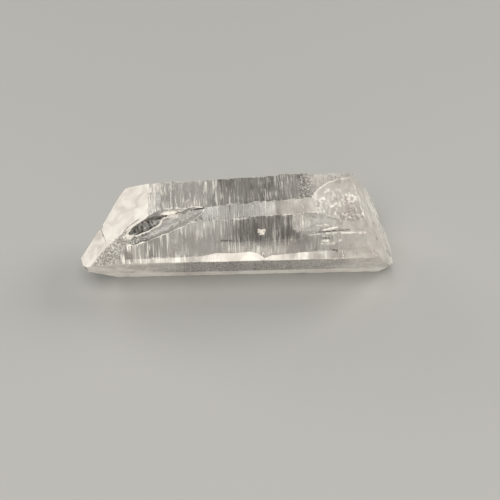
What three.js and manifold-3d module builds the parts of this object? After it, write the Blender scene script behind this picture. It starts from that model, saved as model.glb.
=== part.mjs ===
// A natural quartz point, one clear crystal lying on a prism face.
// Millimetres: +X runs along the crystal from its tip to its broken base, +Y is back and +Z is up.
// The crystal is worked out round its own long axis, then set down with its bed face at Z = 0.

import * as THREE from 'three';
import { mergeVertices } from 'three/addons/utils/BufferGeometryUtils.js';
import Module from 'manifold-3d';

const wasm = await Module();
wasm.setup();

// ---- Driving dimensions ----

// The prism before its ends are cut, and the grid that its growth ledges snap to.
const STOCK_START = -3;
const STOCK_END = 90;
const LEDGE_GRID = 0.3;

// The prism faces, in order round the section. angle is the direction of the outward normal in
// degrees from +Y towards +Z. reach is the distance from the axis at X = 0, and widening is how much
// further out the face stands for each millimetre towards the base. rungs is the number of growth
// ledges across the face, and rise is the height of the tallest.
const PRISM_FACES = [
  { name: 'bed', angle: -90, reach: 11.0, widening: 0, rungs: 0, rise: 0, seed: 1 },
  { name: 'lower back', angle: -30, reach: 9.6, widening: 0.0175, rungs: 14, rise: 0.18, seed: 11 },
  { name: 'upper back', angle: 30, reach: 11.4, widening: 0.016, rungs: 18, rise: 0.22, seed: 23 },
  { name: 'top', angle: 90, reach: 12.35, widening: 0.0176, rungs: 27, rise: 0.18, seed: 37 },
  { name: 'bevel', angle: 120, reach: 11.85, widening: 0.0235, rungs: 18, rise: 0.15, seed: 41 },
  { name: 'front', angle: 150, reach: 10.45, widening: 0.0155, rungs: 32, rise: 0.2, seed: 59 },
  { name: 'lower front', angle: 210, reach: 9.6, widening: 0.0047, rungs: 18, rise: 0.15, seed: 67 },
];
const BED_DEPTH = PRISM_FACES[0].reach;

// A patch that stands proud, left by a later layer of growth.
const RAISED_PATCH = { face: 'upper back', from: 52.5, to: 60, height: 0.4 };

// The tip: four faces that meet near one point. Each leans 38.2 degrees from the long axis, as
// quartz does. azimuth is the direction it faces round the axis, and setback is how far it stands
// inside the common point.
const TIP_LEAN = 38.2;
const TIP_POINT = [0, -6.62, -3.72];
const TIP_FACES = [
  { azimuth: 90, setback: 0 },
  { azimuth: -30, setback: 0.67 },
  { azimuth: 210, setback: 0.4 },
  { azimuth: -90, setback: 0.9 },
];

// The large upper tip face flattens into a narrow strip before it runs out on the top face.
const STRIP_LEAN = 23;
const STRIP_END = [22.5, 0, 12.8];

// The very tip is worn blunt.
const WORN_TIP = { normal: [-0.9, -0.25, -0.35], point: [2.2, -6.6, -3.9] };

// Conchoidal scars where flakes have sprung off the edge between the upper tip face and the front.
// from and to are the pointed ends of a scar, out is the direction that it faces, and ripples is how
// tightly the shock waves cross it.
const SCAR_BELLY = 3;
const SCAR_RIPPLE = 0.02;
const BROKEN_EDGE = {
  from: [5.6, -10.3, 0.9],
  to: [21.8, -5.6, 10.3],
  out: [-0.38, -0.37, 0.85],
  width: 4.8,
  depth: 0.5,
  ripples: 6,
};
const DEEP_PIT = {
  from: [12.6, -6.3, 6.0],
  to: [24.4, -5.3, 11.7],
  out: [-0.38, -0.37, 0.85],
  width: 2.9,
  depth: 1.3,
  ripples: 18,
};
const LONG_FLAKE = {
  from: [14.0, -8.9, 5.2],
  to: [33.4, -4.5, 12.8],
  out: [-0.14, -0.6, 0.74],
  width: 4.0,
  depth: 1.3,
  ripples: 10,
};

// The broken base: a long wavy break, a hollow where a flake left the top of it, and a corner
// knocked off underneath. u and v run down and back across the break from its middle.
const BASE_BREAK = { normal: [1, 0.07, 0.5], point: [79.5, -0.3, -2.5] };
const BREAK_SPAN = 48;
const BREAK_CELLS = 22;
const BREAK_STRIKE = { u: -12, v: -4 };
const BREAK_RIPPLE = { height: 0.25, length: 3.6 };
const BREAK_LUMPS = [
  { u: -8.5, v: -12, size: 4, height: -2.4 },
  { u: -3, v: 9, size: 5, height: 0.6 },
  { u: 6, v: -2, size: 6, height: -0.8 },
];
const BASE_CORNER = { normal: [0.48, -0.65, -0.59], point: [79.9, -6.3, -9.0] };
const BASE_HOLLOW = { centre: [71, -6.5, 30], radius: 20, ripple: { height: 0.16, length: 2.8 } };

// Small chips knocked out of the edges, and last a bruise on the front face.
const CHIPS = [
  { at: [6.2, 1.2, 1.5], radius: 0.9 },
  { at: [47.6, -12.7, 1.3], radius: 0.9 },
  { at: [30.5, -5.4, -11.2], radius: 0.8 },
  { at: [58.2, -5.5, -11.2], radius: 1.0 },
  { at: [66.0, -12.9, 1.5], radius: 0.8 },
  { at: [39.8, 6.9, 13.3], radius: 0.8 },
  { at: [25.4, 13.0, 1.8], radius: 0.9 },
  { at: [63.3, 13.9, 1.7], radius: 1.2 },
  { at: [44.1, 6.1, -11.2], radius: 0.9 },
  { at: [47.4, -8.6, 8.7], radius: 1.0 },
];
const CHIP_SHAPE = [1.4, 1, 0.8];

const QUARTZ = new THREE.MeshStandardMaterial({ color: 0xe4e2dc, roughness: 0.12, metalness: 0 });

// ---- Helpers ----

const radians = THREE.MathUtils.degToRad;
const Z_AXIS = new THREE.Vector3(0, 0, 1);
const GOLDEN_ANGLE = 2.4;
const SAME_PLACE = 1e-5;

// The same run of numbers between 0 and 1 for the same seed.
function randomStream(seed) {
  const range = 2 ** 32;
  let state = seed;
  return () => {
    state = (state * 1664525 + 1013904223) % range;
    return state / range;
  };
}

function vector(values) {
  return new THREE.Vector3(...values);
}

function toSolid(geometry) {
  geometry.deleteAttribute('normal');
  geometry.deleteAttribute('uv');
  const merged = mergeVertices(geometry, SAME_PLACE);
  return new wasm.Manifold(new wasm.Mesh({
    numProp: 3,
    vertProperties: new Float32Array(merged.attributes.position.array),
    triVerts: new Uint32Array(merged.index.array),
  }));
}

function toGeometry(solid) {
  const mesh = solid.getMesh();
  const geometry = new THREE.BufferGeometry();
  geometry.setAttribute('position', new THREE.BufferAttribute(mesh.vertProperties, 3));
  geometry.setIndex(new THREE.BufferAttribute(mesh.triVerts, 1));
  return geometry;
}

// Moves every point of a geometry to where place(point) puts it.
function movePoints(geometry, place) {
  const positions = geometry.attributes.position;
  const point = new THREE.Vector3();
  for (let i = 0; i < positions.count; i += 1) {
    const moved = place(point.fromBufferAttribute(positions, i));
    positions.setXYZ(i, moved.x, moved.y, moved.z);
  }
  return geometry;
}

// Everything in front of a plane, as a block whose near side bends by relief(u, v).
function blockBeyond({ normal, point }, span, cells, relief) {
  const block = new THREE.BoxGeometry(span, span, span, cells, cells, 1).translate(0, 0, span / 2);
  movePoints(block, (at) => {
    if (at.z < span / 2) {
      at.z = relief(at.x, at.y);
    }
    return at;
  });
  const facing = new THREE.Quaternion().setFromUnitVectors(Z_AXIS, vector(normal).normalize());
  return toSolid(block.applyQuaternion(facing).translate(...point));
}

function flatCut(plane) {
  return blockBeyond(plane, 2 * STOCK_END, 1, () => 0);
}

function rippleAt(distance, { height, length }) {
  return height * Math.sin((2 * Math.PI * distance) / length);
}

// ---- The prism and its growth ledges ----

// Each ledge has a height at the face's first edge, in its middle and at its other edge. Some have
// died out there, so that the rung stops part of the way across.
function ledgesOf(face) {
  const random = randomStream(face.seed);
  const spacing = (STOCK_END - STOCK_START) / Math.max(face.rungs, 1);
  return Array.from({ length: face.rungs }, (_, k) => {
    const x = STOCK_START + (k + 0.1 + 0.8 * random()) * spacing;
    const heights = [0, 1, 2].map(() => face.rise * Math.max(1.2 * random() - 0.2, 0));
    return { x: Math.round(x / LEDGE_GRID) * LEDGE_GRID, heights };
  });
}

const LEDGES = PRISM_FACES.map(ledgesOf);

// How far a face stands proud at x: it steps out at each ledge and sinks back before the next one.
// across is 0 at the face's first edge, 1 in its middle and 2 at its other edge.
function proudAt(faceIndex, x, across) {
  const ledges = LEDGES[faceIndex];
  const k = ledges.findLastIndex((ledge) => ledge.x <= x + SAME_PLACE);
  let height = 0;
  if (k >= 0) {
    const next = ledges[k + 1]?.x ?? STOCK_END;
    const top = ledges[k].x + LEDGE_GRID;
    const risen = Math.min((x - ledges[k].x) / LEDGE_GRID, 1);
    const sunk = THREE.MathUtils.clamp((x - top) / Math.max(next - top, LEDGE_GRID), 0, 1);
    height = ledges[k].heights[across] * risen * (1 - sunk);
  }
  const { face, from, to } = RAISED_PATCH;
  if (PRISM_FACES[faceIndex].name === face && x > from && x < to) {
    height += RAISED_PATCH.height;
  }
  return height;
}

function reachOf(faceIndex, x, across) {
  const { reach, widening } = PRISM_FACES[faceIndex];
  return reach + widening * x + proudAt(faceIndex, x, across);
}

// The corner between a face and the next one round: where their two lines cross.
function cornerAfter(faceIndex, x) {
  const nextIndex = (faceIndex + 1) % PRISM_FACES.length;
  const a = radians(PRISM_FACES[faceIndex].angle);
  const b = radians(PRISM_FACES[nextIndex].angle);
  const reachA = reachOf(faceIndex, x, 2);
  const reachB = reachOf(nextIndex, x, 0);
  const turn = Math.sin(b - a);
  return new THREE.Vector3(
    x,
    (reachA * Math.sin(b) - reachB * Math.sin(a)) / turn,
    (reachB * Math.cos(a) - reachA * Math.cos(b)) / turn,
  );
}

// One section: for each face the corner before it, then the point in its middle.
function sectionAt(x) {
  return PRISM_FACES.flatMap((face, i) => {
    const before = cornerAfter((i + PRISM_FACES.length - 1) % PRISM_FACES.length, x);
    const middle = before.clone().lerp(cornerAfter(i, x), 0.5);
    const crown = proudAt(i, x, 1) - (proudAt(i, x, 0) + proudAt(i, x, 2)) / 2;
    middle.y += crown * Math.cos(radians(face.angle));
    middle.z += crown * Math.sin(radians(face.angle));
    return [before, middle];
  });
}

// Sections stand only where some face steps: at the foot and at the top of each ledge.
function stations() {
  const steps = [STOCK_START, STOCK_END, RAISED_PATCH.from, RAISED_PATCH.to];
  LEDGES.flat().forEach(({ x }) => steps.push(x, x + LEDGE_GRID));
  const gridded = new Set(steps.map((x) => Math.round(x / LEDGE_GRID)));
  return [...gridded].sort((a, b) => b - a).map((step) => step * LEDGE_GRID);
}

// A plain cylinder whose rings are drawn out into the sections.
function prismStock() {
  const sections = stations().map(sectionAt);
  const rows = sections.length - 1;
  const columns = sections[0].length;
  const stock = new THREE.CylinderGeometry(1, 1, 1, columns, rows);
  return toSolid(movePoints(stock, (at) => {
    const section = sections[Math.round((0.5 - at.y) * rows)];
    if (Math.hypot(at.x, at.z) < 0.5) {
      return new THREE.Vector3(section[0].x, 0, 0);
    }
    const turn = Math.atan2(at.x, at.z) / (2 * Math.PI);
    return section[Math.round((turn + 1) * columns) % columns];
  }));
}

// ---- The tip ----

function tipNormal(azimuth, lean) {
  const around = radians(azimuth);
  const tilt = radians(lean);
  return [-Math.sin(tilt), Math.cos(tilt) * Math.cos(around), Math.cos(tilt) * Math.sin(around)];
}

function tipCuts() {
  const faces = TIP_FACES.map(({ azimuth, setback }) => {
    const normal = tipNormal(azimuth, TIP_LEAN);
    const point = vector(TIP_POINT).addScaledVector(vector(normal), -setback).toArray();
    return flatCut({ normal, point });
  });
  const strip = flatCut({ normal: tipNormal(90, STRIP_LEAN), point: STRIP_END });
  return [...faces, strip, flatCut(WORN_TIP)];
}

// ---- The breaks ----

// An egg-shaped cutter lying along the scar, its belly rippled by the shock waves. It is sunk so
// that it has the scar's length and width where it meets the surface.
function scarCut({ from, to, out, width, depth, ripples }) {
  const along = vector(to).sub(vector(from));
  const length = along.length();
  along.normalize();
  const outward = vector(out);
  outward.addScaledVector(along, -outward.dot(along)).normalize();
  const rise = SCAR_BELLY - depth;
  const spread = 0.5 / Math.sqrt(1 - (rise / SCAR_BELLY) ** 2);

  const egg = movePoints(new THREE.SphereGeometry(1, 30, 18).rotateZ(Math.PI / 2), (at) => {
    const wave = 1 + SCAR_RIPPLE * Math.sin(ripples * at.x);
    return new THREE.Vector3(
      at.x * length * spread,
      at.y * wave * width * spread,
      at.z * wave * SCAR_BELLY + rise,
    );
  });
  egg.applyMatrix4(new THREE.Matrix4().makeBasis(along, outward.clone().cross(along), outward));
  const middle = vector(from).lerp(vector(to), 0.5);
  return toSolid(egg.translate(middle.x, middle.y, middle.z));
}

// The broken face: lumps, and ring ripples that run out from the point where it was struck.
function breakRelief(u, v) {
  const fromStrike = Math.hypot(u - BREAK_STRIKE.u, v - BREAK_STRIKE.v);
  return BREAK_LUMPS.reduce((sum, lump) => {
    const away = Math.hypot(u - lump.u, v - lump.v) / lump.size;
    return sum + lump.height * Math.exp(-away * away);
  }, rippleAt(fromStrike, BREAK_RIPPLE));
}

// A ball whose skin is rippled in rings that run along the crystal.
function hollowCut({ centre, radius, ripple }) {
  const ball = movePoints(new THREE.IcosahedronGeometry(radius, 12), (at) => {
    const fromSide = radius * Math.acos(at.x / radius);
    return at.setLength(radius + rippleAt(fromSide, ripple));
  });
  return toSolid(ball.translate(...centre));
}

function baseCuts() {
  const face = blockBeyond(BASE_BREAK, BREAK_SPAN, BREAK_CELLS, breakRelief);
  return [face, flatCut(BASE_CORNER), hollowCut(BASE_HOLLOW)];
}

function chipCut({ at, radius }, index) {
  const chip = new THREE.IcosahedronGeometry(radius, 1).scale(...CHIP_SHAPE);
  chip.rotateX(GOLDEN_ANGLE * index).rotateZ((GOLDEN_ANGLE * index) / 2);
  return toSolid(chip.translate(...at));
}

// ---- The crystal ----

function crystalGeometry() {
  const cuts = [
    ...tipCuts(),
    ...[BROKEN_EDGE, DEEP_PIT, LONG_FLAKE].map(scarCut),
    ...baseCuts(),
    ...CHIPS.map(chipCut),
  ];
  const solid = cuts.reduce((rest, cut) => rest.subtract(cut), prismStock());
  const geometry = toGeometry(solid);
  geometry.computeBoundingBox();
  const { min, max } = geometry.boundingBox;
  return geometry.translate(-(min.x + max.x) / 2, -(min.y + max.y) / 2, BED_DEPTH);
}

const crystal = new THREE.Mesh(crystalGeometry(), QUARTZ);
crystal.name = 'crystal';

const quartzPoint = new THREE.Group();
quartzPoint.add(crystal);

export default quartzPoint;
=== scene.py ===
"""A natural quartz point, one clear crystal lying on a prism face.

The crystal is worked out in millimetres round its own long axis, X from the tip to the broken base,
Y back and Z up. It is then set down in the frame, in metres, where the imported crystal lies.

A prism of rings carries the growth ledges. The tip faces, the scars, the break, the chips and the
nicks are cut out of it. Each face of the mesh keeps the numbers of its finish, and the one quartz
material reads them.
"""

import math

import bmesh
import bpy
import numpy as np
from mathutils import Matrix, Vector, noise
from mathutils.kdtree import KDTree


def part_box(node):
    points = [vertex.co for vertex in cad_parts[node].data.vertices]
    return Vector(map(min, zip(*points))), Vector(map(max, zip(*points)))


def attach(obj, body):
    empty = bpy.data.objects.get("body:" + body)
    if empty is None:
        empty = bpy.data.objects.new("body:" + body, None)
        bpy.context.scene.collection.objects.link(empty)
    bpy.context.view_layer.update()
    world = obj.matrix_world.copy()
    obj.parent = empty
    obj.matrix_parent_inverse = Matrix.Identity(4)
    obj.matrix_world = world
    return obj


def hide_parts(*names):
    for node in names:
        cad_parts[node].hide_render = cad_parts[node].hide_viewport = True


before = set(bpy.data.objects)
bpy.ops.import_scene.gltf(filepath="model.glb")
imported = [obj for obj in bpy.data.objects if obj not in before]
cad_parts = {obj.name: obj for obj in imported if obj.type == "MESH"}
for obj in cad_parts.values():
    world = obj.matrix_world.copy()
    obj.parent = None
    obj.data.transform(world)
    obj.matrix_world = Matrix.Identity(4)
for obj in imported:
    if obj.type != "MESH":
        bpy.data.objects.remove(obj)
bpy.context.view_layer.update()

MM = 0.001
SWIRL_SEED = 7  # which swirls the hollow gets: without a seed they change from run to run
noise.seed_set(SWIRL_SEED)

# ---- The prism, in millimetres ----

# The tip of the crystal and the middle of its width, in its own axes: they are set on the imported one.
TIP_X = 1.432
MIDDLE_Y = 0.596

# The prism is made too long, and both ends are cut away. A growth ledge takes LEDGE_CLIMB to rise.
STOCK_START = -3
STOCK_END = 90
LEDGE_CLIMB = 0.3
RING_STEP = LEDGE_CLIMB / 2

# The prism faces, in order round the section. angle is the direction of the outward normal in
# degrees from +Y towards +Z. reach is the distance from the axis at X = 0, and widening is how much
# further out the face stands for each millimetre towards the base. rungs are the number of growth
# ledges across the face and the height of the tallest, and lines the same for the fine growth lines
# between them. zones are (X, strength of the fine lines, milkiness), shades are (X, painted shade:
# how far the glass colour is darkened there, standing for the dark seen through the face) and
# grains are (X, how coarse its frosting is).
PRISM_FACES = [
    dict(name="bed", angle=-90, reach=11.0, widening=0,
         rungs=(0, 0), lines=(90, 0.02), seed=1,
         zones=[(0, 0.5, 0.1)]),
    dict(name="lower back", angle=-30, reach=9.6, widening=0.0175,
         rungs=(14, 0.18), lines=(110, 0.03), seed=11,
         zones=[(8, 0.3, 0.35), (20, 0.6, 0.05), (40, 0.3, 0.0), (52, 0.7, 0.1), (66, 0.3, 0.25),
                (80, 0.2, 0.5)]),
    dict(name="upper back", angle=30, reach=11.4, widening=0.016,
         rungs=(18, 0.22), lines=(120, 0.035), seed=23,
         zones=[(8, 0.3, 0.3), (18, 0.8, 0.05), (36, 0.4, 0.0), (50, 0.8, 0.05), (62, 0.4, 0.2),
                (78, 0.2, 0.45)],
         shades=[(20, 0.05), (32, 0.3), (46, 0.3), (58, 0.05)]),
    dict(name="top", angle=90, reach=12.35, widening=0.0176,
         rungs=(27, 0.18), lines=(130, 0.05), seed=37,
         zones=[(20, 0.9, 0.1), (35, 0.9, 0.08), (38, 0.7, 0.0), (50, 0.7, 0.0), (56, 0.7, 0.1),
                (62, 0.3, 0.25)],
         shades=[(20, 0.35), (34, 0.4), (36, 1.35), (40, 1.25), (42, 0.75), (47, 1.35), (52, 1.3),
                 (58, 0.7), (62, 0.1)],
         grains=[(56.8, 0.02), (57.6, 0.8), (60.5, 0.8), (62, 0.02)]),
    dict(name="bevel", angle=120, reach=11.85, widening=0.0235,
         rungs=(18, 0.15), lines=(90, 0.03), seed=41,
         zones=[(25, 0.5, 0.0), (45, 0.6, 0.05), (56, 0.3, 0.5)],
         shades=[(30, 0.4), (36.5, 0.5), (38.5, 1.3), (42.5, 1.3), (44, 0.9), (54, 0.85), (60, 0.4)]),
    dict(name="front", angle=150, reach=10.45, widening=0.0155,
         rungs=(32, 0.12), lines=(190, 0.07), seed=59,
         zones=[(8, 1.2, 0.2), (13, 1.8, 0.05), (18, 1.8, 0.05), (20, 0.9, 0.08), (26, 0.5, 0.2),
                (36, 0.6, 0.15), (42, 0.7, 0.0), (58, 0.7, 0.0), (66, 0.3, 0.2), (72, 0.1, 0.42)],
         shades=[(8, 0.5), (18, 0.5), (26, 0.3), (36, 0.35), (55, 0.35), (60, 0.3), (68, 0.1)]),
    dict(name="lower front", angle=210, reach=9.6, widening=0.0047,
         rungs=(18, 0.15), lines=(120, 0.04), seed=67,
         zones=[(0, 0.5, 1.2), (30, 0.5, 0.7), (80, 0.3, 0.9)],
         shades=[(12, 0.15), (30, 0.6), (55, 0.6), (75, 0.3)],
         grains=[(12, 0.3), (30, 0.9), (68, 0.9), (76, 0.5)]),
]
LINE_ZONE = 1
BLOOM_ZONE = 2
BED_DEPTH = PRISM_FACES[0]["reach"]
LOW, HIGH = (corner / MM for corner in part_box("crystal"))
AXIS_TO_FRAME = Vector((LOW.x - TIP_X, (LOW.y + HIGH.y) / 2 - MIDDLE_Y, LOW.z + BED_DEPTH))

# Where a ledge stands within its share of the length, and how high it is as a share of the tallest.
# chance is what a draw between 0 and 1 adds.
LEDGE_PLACE = dict(least=0.1, chance=0.8)
LEDGE_HEIGHT = dict(chance=1.2, less=0.2)
RUNG_PLACES = 3
LINE_PLACES = 5
LINE_SEED = 1000
# However weak its lines are, a face keeps this share of its ledges' height.
RUNG_LEAST = 0.3
# A faint long wave on every face.
WAVE = dict(height=0.02, length=7, across=12)

# Columns of points across a face. The front has more, and the last of them lie on the shelf.
COLUMNS = 8
FRONT_COLUMNS = 16
SHELF_COLUMNS = 2

# How far the edge after a face has grown sideways, as (X, distance) in the direction along.
EDGE_SHIFTS = {
    "top": dict(along=(0, 1, 0), shift=[(29, -1.9), (49, 0), (62, 1.2)]),
    "bevel": dict(along=(0, 0.5, 0.866), shift=[(29, -0.55), (47, 0), (62, 0.5)]),
}

# The edges are drawn in by their wear and whitened here and there, within a margin that is a share
# of the face's width. A rung shows most where it climbs this steeply.
EDGE_WEAR = dict(depth=0.12, length=1.5)
EDGE_BLOOM = dict(bloom=0.9, length=2, seed=5)
EDGE_MARGIN = 0.035
STEEP = 0.5

# A low shelf along the lower edge of the front. path is how far across the face its brink lies at
# each X, step is how wide the brink is, and fades is where it starts and dies out.
SHELF = dict(face="front", height=0.15, step=0.012, fades=[(34, 0), (37, 1), (62, 1), (69, 0)], path=[
    (20, 0.87), (32, 0.85), (35.8, 0.78), (40.8, 0.795), (44.6, 0.775), (46.6, 0.82), (48.3, 0.93),
    (50.1, 0.87), (57.2, 0.83), (68.5, 0.8)])
# White skin on the shelf along X: painted light, for the bright band that runs along it.
SHELF_PAINTED_LIGHT = [
    (16, 0.3), (20, 0.65), (34, 0.65), (35.5, 0.9), (38, 1.0), (39.5, 1.5), (45.5, 1.5), (47.5, 0.8),
    (50, 1.0), (53, 0.7), (54, 1.0), (55, 0.6), (58, 0.7), (58.5, 1.1), (59.5, 0.55), (66, 0.4), (72, 0.5)]
# Painted shade: in a window in the middle of the front the glass is darkened most, standing for the dark
# seen through it. Below the window white skin is painted on, as painted light.
PAINTED_SHADE_WINDOW = dict(shade=1.15, along=[(34, 0), (41, 0.8), (44, 1), (54, 1), (60, 0.1)],
                   across=[(0.46, 1), (0.62, 0)])
LOWER_PAINTED_LIGHT = dict(bloom=0.3, along=[(36, 0), (40, 1), (54, 1), (57, 0)], across=[(0.5, 0), (0.7, 1)])
# Over the healed crack it is milky, without painted shade, from start towards the base, with a rounded
# lower corner.
MILKY_PATCH = dict(start=55.2, rounding=1.5, across=0.38, squareness=6, bloom=0.12)
# The lowest columns of the lower front are painted white, with no grain or shade: a painted highlight
# along its bottom edge.
PAINTED_HIGHLIGHT_FOOT = dict(face="lower front", columns=3, bloom=1.4)

RAISED_PATCH = dict(face="upper back", start=52.5, end=60, height=0.4)
# The upper back swells a little towards the tip, and is a little hollow behind it.
SWELLING = dict(face="upper back", height=[
    (5, 1.2), (12, 1.0), (13.5, 0.75), (15, 0.6), (18.5, -0.05), (21, -0.6), (28, -0.7), (34, -0.45),
    (40, -0.3), (52, 0)])

# ---- The cuts, in millimetres ----

# A flat cut is a block in front of a plane: span is its size and cells how many faces it has each
# way. An etching is faint lumps on it, size across.
TIP_LEAN = 38.2
TIP_POINT = (0, -6.62, -3.72)
TIP_FACES = [
    dict(azimuth=90, setback=0, finish="upper tip"),
    dict(azimuth=-30, setback=0.67, finish="tip", swell=dict(at=(11.3, 7.8, 5.2), size=4.5, height=0.8)),
    dict(azimuth=210, setback=0.4, finish="tip"),
    dict(azimuth=-90, setback=0.9, finish="tip"),
]
TIP_BLOCK = dict(span=110, cells=200)
TIP_ETCHING = dict(height=0.015, size=5, depth=1)
STRIP_LEAN = 23
STRIP_END = (22.5, 0, 12.8)
STRIP_ETCHING = dict(height=0.02, size=1.5, seed=5)
WORN_TIP = dict(normal=(-0.9, -0.25, -0.35), point=(2.2, -6.6, -3.9))
WORN_BLOCK = dict(span=12, cells=20)
WORN_ETCHING = dict(height=0.05, size=1, seed=6)

# The crumbled edge and its foot, the deep pit and the long flake. out is the way a scar faces, ripples
# are its shock waves, ragged is how uneven its rim is, and roughness how uneven its floor.
SCARS = [
    dict(start=(4.6, -10.4, 0.2), end=(14.2, -7.2, 5.6), out=(-0.38, -0.37, 0.85),
         width=3.6, depth=0.6, ripples=6, roughness=0.22, finish="broken edge"),
    dict(start=(4.6, -11.2, -0.6), end=(11.2, -9.4, 2.8), out=(-0.3, -0.6, 0.75),
         width=2.6, depth=0.5, ripples=5, roughness=0.22, finish="broken edge"),
    dict(start=(12.0, -7.2, 5.6), end=(24.4, -5.75, 10.95), out=(-0.38, -0.37, 0.85),
         width=2.0, depth=1.3, ripples=18, ragged=0.12, roughness=0.03, finish="pit"),
    dict(start=(13.6, -9.3, 5.15), end=(32.4, -4.8, 12.05), out=(-0.14, -0.6, 0.74),
         width=3.7, depth=0.9, ripples=10, ragged=0.22, roughness=0.05, finish="flake"),
]
SCAR_SHAPE = dict(belly=3, cells=(150, 170))
SCAR_RIPPLE = 0.02
SCAR_GRAIN = dict(size=0.6, below=0.5)
RAGGED = dict(size=2.2, across=2)

BASE_BREAK = dict(normal=(1, 0.07, 0.5), point=(79.5, -0.3, -2.5))
BREAK_BLOCK = dict(span=48, cells=150)
BREAK_STRIKE = (-12, -4)
BREAK_RIPPLE = dict(height=0.12, length=3.6)
BREAK_ETCHING = dict(height=0.1, size=4, seed=0)
# Lumps and dips in the break: where each is, its size and its height.
BREAK_LUMPS = [
    (-8.5, -12, 4, -2.4),
    (-3, 9, 5, 0.6),
    (6, -2, 6, -0.8),
    (-12.5, 6.5, 3.5, 0.9),
    (-5, 7, 3.5, -0.5),
]
BASE_CORNER = dict(normal=(0.48, -0.65, -0.59), point=(79.9, -6.3, -9.0))
CORNER_BLOCK = dict(span=60, cells=120)
CORNER_ETCHING = dict(height=0.08, size=2, seed=9)
BASE_HOLLOW = dict(centre=(71, -6.5, 30), radius=20, fineness=7,
                   ripple=dict(height=0.16, length=2.8, share=0.3),
                   swirl=dict(height=0.22, size=2.6, depth=2))

# Small chips knocked out of the edges: where each is, and its radius.
CHIPS = [
    ((6.2, 1.2, 1.5), 0.9),
    ((47.6, -12.7, 1.3), 0.9),
    ((30.5, -5.4, -11.2), 0.8),
    ((58.2, -5.5, -11.2), 1.0),
    ((66.0, -12.9, 1.5), 0.8),
    ((39.8, 6.9, 13.3), 0.8),
    ((25.4, 13.0, 1.8), 0.9),
    ((63.3, 13.9, 1.7), 1.2),
    ((44.1, 6.1, -11.2), 0.9),
]
CHIP_SHAPE = (1.4, 1, 0.8)
CHIP_LUMPS = dict(height=0.12, size=0.7, apart=9)
CHIP_FINENESS = 3
GOLDEN_ANGLE = 2.4

# Long narrow nicks: start, end, the way the nick faces, width and depth, then its finish where that
# isn't a bruise, and its roughness. They lie on the rims of the scars, over the healed crack, on the
# top and on the front, and the last four make a star. Those finished as crack or pit are thin grooves
# darkened with painted shade.
TIP_SIDE = (-0.618, 0, 0.786)
FLAKE_SIDE = (0, -0.9, 0.3)
BEVEL_SIDE = (0, -0.75, 0.66)
TOP_EDGE = (0, -0.5, 0.87)
TOP_SIDE = (0, 0, 1)
FRONT_SIDE = (0, -0.87, 0.5)
NICKS = [
    ((12.3, -6.35, 5.95), (14.5, -4.65, 7.68), TIP_SIDE, 0.32, 0.15, "crack"),
    ((14.2, -4.8, 7.45), (17.3, -4.55, 9.9), TIP_SIDE, 0.32, 0.15, "crack"),
    ((6.6, 0.45, 1.45), (8.05, -4.9, 2.6), TIP_SIDE, 0.2, 0.05, "flake"),
    ((28.9, -4.7, 11.9), (32.0, -3.9, 12.3), FLAKE_SIDE, 0.3, 0.15, "crack"),
    ((23.0, -5.0, 11.8), (26.4, -4.7, 11.9), BEVEL_SIDE, 0.9, 0.3, "chip", 0.35),
    ((25.6, -4.6, 12.2), (28.0, -4.5, 12.2), BEVEL_SIDE, 0.5, 0.2),
    ((58.7, -9.1, 6.95), (63.4, -9.0, 7.3), FRONT_SIDE, 0.35, 0.12),
    ((62.8, -8.95, 7.3), (67.4, -8.9, 7.5), FRONT_SIDE, 0.5, 0.12),
    ((62.6, -8.55, 8.05), (67.0, -8.2, 8.8), FRONT_SIDE, 0.5, 0.12, "chip"),
    ((66.9, -9.0, 7.4), (71.6, -9.05, 7.5), FRONT_SIDE, 0.5, 0.15, "chip"),
    ((71.0, -9.1, 7.5), (74.2, -9.2, 7.4), FRONT_SIDE, 0.7, 0.15, "chip"),
    ((61.4, -7.85, 9.2), (64.6, -7.95, 9.15), FRONT_SIDE, 0.6, 0.1),
    ((62.6, -9.9, 5.7), (64.6, -9.95, 5.7), FRONT_SIDE, 0.6, 0.15),
    ((62.6, -10.3, 5.05), (65.6, -10.35, 5.0), FRONT_SIDE, 0.5, 0.15),
    ((65.1, -10.2, 5.15), (65.9, -10.25, 5.05), FRONT_SIDE, 0.8, 0.2),
    ((66.7, -9.95, 5.6), (67.5, -9.85, 5.75), FRONT_SIDE, 0.6, 0.15),
    ((65.1, -11.1, 3.55), (66.6, -11.25, 3.35), FRONT_SIDE, 0.3, 0.12, "crack"),
    ((61.4, -8.8, 7.6), (68.1, -8.6, 8.0), FRONT_SIDE, 0.3, 0.1, "pit"),
    ((61.9, -9.6, 6.3), (65.6, -9.6, 6.25), FRONT_SIDE, 0.3, 0.1, "pit"),
    ((57.8, -3.4, 13.3), (58.0, -5.0, 12.4), TOP_EDGE, 0.8, 0.2),
    ((19.45, -9.25, 5.45), (19.4, -10.05, 4.1), FRONT_SIDE, 0.4, 0.2),
    ((29.2, -2.9, 12.9), (29.5, -1.2, 12.9), TOP_SIDE, 0.45, 0.15),
    ((33.2, -0.6, 13.0), (33.0, 0.9, 13.0), TOP_SIDE, 0.4, 0.15),
    ((25.0, 2.3, 12.85), (25.2, 3.4, 12.85), TOP_SIDE, 0.4, 0.12),
    ((37.1, -9.2, 6.0), (40.8, -9.3, 5.9), FRONT_SIDE, 0.35, 0.15, "pit"),
    ((46.2, -8.5, 7.75), (48.6, -8.15, 8.35), FRONT_SIDE, 0.65, 0.22, "chip"),
    ((46.6, -7.95, 8.75), (48.2, -8.75, 7.25), FRONT_SIDE, 0.6, 0.22, "chip"),
    ((47.3, -8.0, 8.6), (47.4, -9.0, 6.8), FRONT_SIDE, 0.45, 0.2, "chip"),
    ((48.0, -8.25, 8.2), (48.6, -8.55, 7.6), FRONT_SIDE, 0.3, 0.12, "crack"),
]
NICK_SHAPE = dict(belly=1, cells=(36, 60))
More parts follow.
